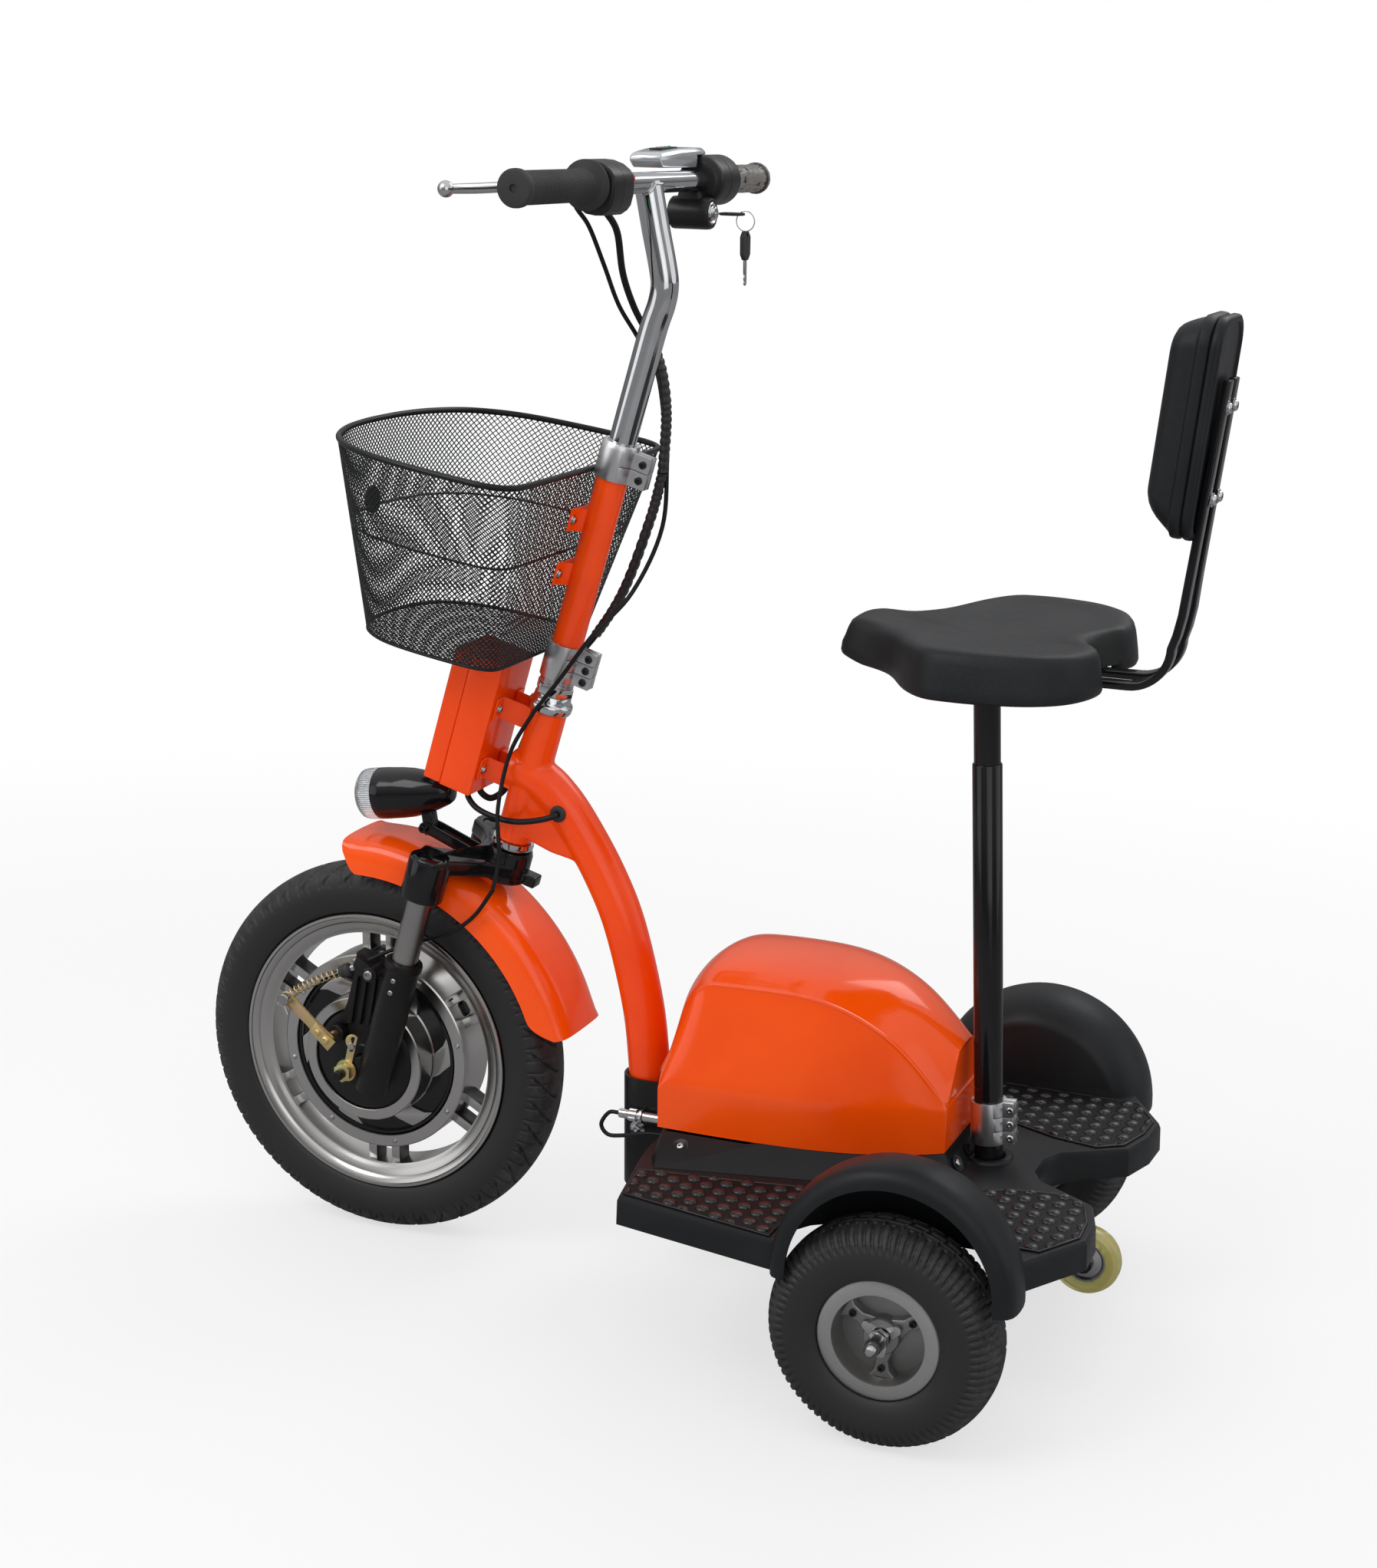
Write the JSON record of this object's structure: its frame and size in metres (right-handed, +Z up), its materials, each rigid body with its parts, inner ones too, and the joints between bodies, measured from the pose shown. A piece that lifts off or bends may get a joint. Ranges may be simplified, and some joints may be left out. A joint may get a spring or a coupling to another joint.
{
  "type": "electric scooter with a seat",
  "caption": "Sit-on electric scooter: large hub-motor front wheel, sprung fork, wire basket, moulded battery cover and deck, padded saddle with backrest, small rear wheels.",
  "frame": {"origin": "on the floor, under the middle of the bounding box", "axes": "+Z up, -Y the way it drives, +X the rider's left"},
  "size_m": [0.66, 1.1943, 1.2682],
  "materials": {
    "backrest_cushion": "black grained vinyl over foam",
    "backrest_pan": "satin black moulding",
    "basket": "black coated wire mesh, modelled as a thin wall",
    "battery": "plain black case",
    "battery_cover": "gloss orange moulding",
    "brake_arm": "yellow zinc plate",
    "brake_cable": "black sleeve",
    "brake_lever": "polished alloy",
    "brake_plate": "satin black paint",
    "brake_spring": "yellow zinc plate",
    "button_green": "green plastic",
    "button_red": "red plastic",
    "castor_wheel": "clear yellow urethane on a silver hub",
    "charge_lead": "black sleeve",
    "charge_plug": "threaded chrome plug",
    "chassis": "black paint",
    "clamp_lower": "satin aluminium",
    "clamp_upper": "satin aluminium",
    "controller_body": "gloss orange paint",
    "controller_lid": "gloss orange paint",
    "deck": "satin black moulding",
    "display_pod": "silver paint",
    "fork_crown": "gloss black paint",
    "fork_leg_left": "gloss black paint",
    "fork_leg_right": "gloss black paint",
    "frame_socket": "black paint",
    "frame_tube": "gloss orange paint, chrome head cups",
    "front_axle": "yellow zinc plate",
    "front_fender": "gloss orange moulding",
    "front_rim": "polished cast aluminium",
    "front_tyre": "black rubber",
    "grip_left": "black ribbed rubber",
    "handlebar": "bright chrome",
    "headlamp": "gloss black moulding",
    "ignition_key": "steel blade and black head",
    "lamp_lens": "clear ribbed lens",
    "loom": "black sleeve",
    "motor_cover_left": "polished blades over black",
    "motor_cover_right": "gloss black paint",
    "post_inner": "gloss black paint",
    "post_outer": "gloss black paint",
    "power_lead": "black sleeve",
    "rear_axle": "bright steel with nickelled nuts",
    "rear_rim_left": "machined and dark cast aluminium",
    "rear_rim_right": "machined and dark cast aluminium",
    "rear_tyre_left": "black rubber",
    "rear_tyre_right": "black rubber",
    "seat_bar_left": "black paint",
    "seat_bar_right": "black paint",
    "seat_clamp": "satin cast aluminium",
    "seat_cushion": "black grained vinyl over foam",
    "seat_plate": "black paint",
    "spare_key": "black head, steel blade and ring",
    "stanchion_left": "satin hard chrome",
    "stanchion_right": "satin hard chrome",
    "stem_lower": "gloss orange paint",
    "switch_housing": "satin black moulding",
    "throttle_grip": "black rubber under clear film",
    "throttle_housing": "satin black moulding"
  },
  "bodies": {
    "main_frame": {"frame_tube": "frame_tube", "frame_socket": "frame_socket", "chassis": "chassis", "deck": "deck", "battery_cover": "battery_cover", "battery": "battery", "post_outer": "post_outer", "seat_clamp": "seat_clamp", "rear_axle": "rear_axle", "controller_body": "controller_body", "controller_lid": "controller_lid", "power_lead": "power_lead", "loom": "loom", "charge_lead": "charge_lead", "charge_plug": "charge_plug"},
    "seat_set": {"post_inner": "post_inner", "seat_plate": "seat_plate", "seat_cushion": "seat_cushion", "seat_bar_left": "seat_bar_left", "seat_bar_right": "seat_bar_right", "backrest_pan": "backrest_pan", "backrest_cushion": "backrest_cushion"},
    "steering_set": {"fork_crown": "fork_crown", "stanchion_left": "stanchion_left", "stanchion_right": "stanchion_right", "clamp_lower": "clamp_lower", "stem_lower": "stem_lower", "clamp_upper": "clamp_upper", "basket": "basket", "headlamp": "headlamp", "lamp_lens": "lamp_lens", "front_fender": "front_fender", "brake_cable": "brake_cable"},
    "handlebar_set": {"handlebar": "handlebar", "grip_left": "grip_left", "switch_housing": "switch_housing", "throttle_housing": "throttle_housing", "display_pod": "display_pod"},
    "fork_lower_set": {"fork_leg_left": "fork_leg_left", "fork_leg_right": "fork_leg_right", "front_axle": "front_axle", "brake_plate": "brake_plate", "brake_spring": "brake_spring"},
    "front_wheel_set": {"front_tyre": "front_tyre", "front_rim": "front_rim", "motor_cover_left": "motor_cover_left", "motor_cover_right": "motor_cover_right"},
    "rear_wheel_left_set": {"rear_tyre_left": "rear_tyre_left", "rear_rim_left": "rear_rim_left"},
    "rear_wheel_right_set": {"rear_tyre_right": "rear_tyre_right", "rear_rim_right": "rear_rim_right"},
    "castor_set": {"castor_wheel": "castor_wheel"},
    "brake_lever_set": {"brake_lever": "brake_lever"},
    "brake_arm_set": {"brake_arm": "brake_arm"},
    "throttle_set": {"throttle_grip": "throttle_grip"},
    "button_red_set": {"button_red": "button_red"},
    "button_green_set": {"button_green": "button_green"},
    "ignition_key_set": {"ignition_key": "ignition_key"},
    "spare_key_set": {"spare_key": "spare_key"}
  },
  "joints": [
    {"name": "steering", "type": "hinge", "parent": "main_frame", "child": "steering_set", "pos_m": [0, -0.1982, 0.4966], "axis": [0, 0.284, 0.9588], "range_deg": [-45, 45], "deforming": ["loom", "brake_cable"]},
    {"name": "bar_height", "type": "slide", "parent": "steering_set", "child": "handlebar_set", "axis": [0, 0.284, 0.9588], "range_m": [-0.03, 0.04], "deforming": ["loom", "brake_cable"]},
    {"name": "fork_travel", "type": "slide", "parent": "steering_set", "child": "fork_lower_set", "axis": [0, 0.284, 0.9588], "range_m": [0, 0.03], "stiffness_N_per_m": 6000, "springref_m": -0.005, "deforming": ["brake_cable"]},
    {"name": "front_wheel_spin", "type": "hinge", "parent": "fork_lower_set", "child": "front_wheel_set", "pos_m": [0, -0.3686, 0.2285], "axis": [1, 0, 0], "continuous": true},
    {"name": "rear_wheel_left_spin", "type": "hinge", "parent": "main_frame", "child": "rear_wheel_left_set", "pos_m": [0.2746, 0.3588, 0.125], "axis": [1, 0, 0], "continuous": true},
    {"name": "rear_wheel_right_spin", "type": "hinge", "parent": "main_frame", "child": "rear_wheel_right_set", "pos_m": [-0.2746, 0.3588, 0.125], "axis": [1, 0, 0], "continuous": true},
    {"name": "castor_spin", "type": "hinge", "parent": "main_frame", "child": "castor_set", "pos_m": [0, 0.4983, 0.109], "axis": [1, 0, 0], "continuous": true},
    {"name": "seat_height", "type": "slide", "parent": "main_frame", "child": "seat_set", "axis": [0, -0.0476, 0.9989], "range_m": [-0.09, 0.08]},
    {"name": "brake_lever_pull", "type": "hinge", "parent": "handlebar_set", "child": "brake_lever_set", "pos_m": [0.117, -0.0682, 1.2312], "axis": [0, 0, 1], "range_deg": [0, 15], "stiffness_Nm_per_rad": 2, "springref_deg": -5.73},
    {"name": "brake_arm_turn", "type": "hinge", "parent": "fork_lower_set", "child": "brake_arm_set", "pos_m": [0.09, -0.397, 0.2605], "axis": [-1, 0, 0], "range_deg": [0, 12], "deforming": ["brake_spring"]},
    {"name": "throttle_turn", "type": "hinge", "parent": "handlebar_set", "child": "throttle_set", "pos_m": [-0.25, -0.0307, 1.2332], "axis": [-1, 0, 0], "range_deg": [0, 70], "stiffness_Nm_per_rad": 0.4, "springref_deg": -11.46},
    {"name": "button_red_press", "type": "slide", "parent": "handlebar_set", "child": "button_red_set", "axis": [1, 0, 0], "range_m": [0, 0.002], "stiffness_N_per_m": 250, "springref_m": -0.001},
    {"name": "button_green_press", "type": "slide", "parent": "handlebar_set", "child": "button_green_set", "axis": [1, 0, 0], "range_m": [0, 0.002], "stiffness_N_per_m": 250, "springref_m": -0.001},
    {"name": "key_turn", "type": "hinge", "parent": "handlebar_set", "child": "ignition_key_set", "pos_m": [-0.13, -0.0107, 1.1995], "axis": [0, 1, 0], "range_deg": [0, 90]},
    {"name": "key_ring_swing", "type": "hinge", "parent": "ignition_key_set", "child": "spare_key_set", "pos_m": [-0.13, 0.0193, 1.1995], "axis": [1, 0, 0], "range_deg": [0, 20]}
  ],
  "couplings": [
    {"joint": "brake_arm_turn", "follows": "brake_lever_pull", "ratio": 0.8}
  ]
}
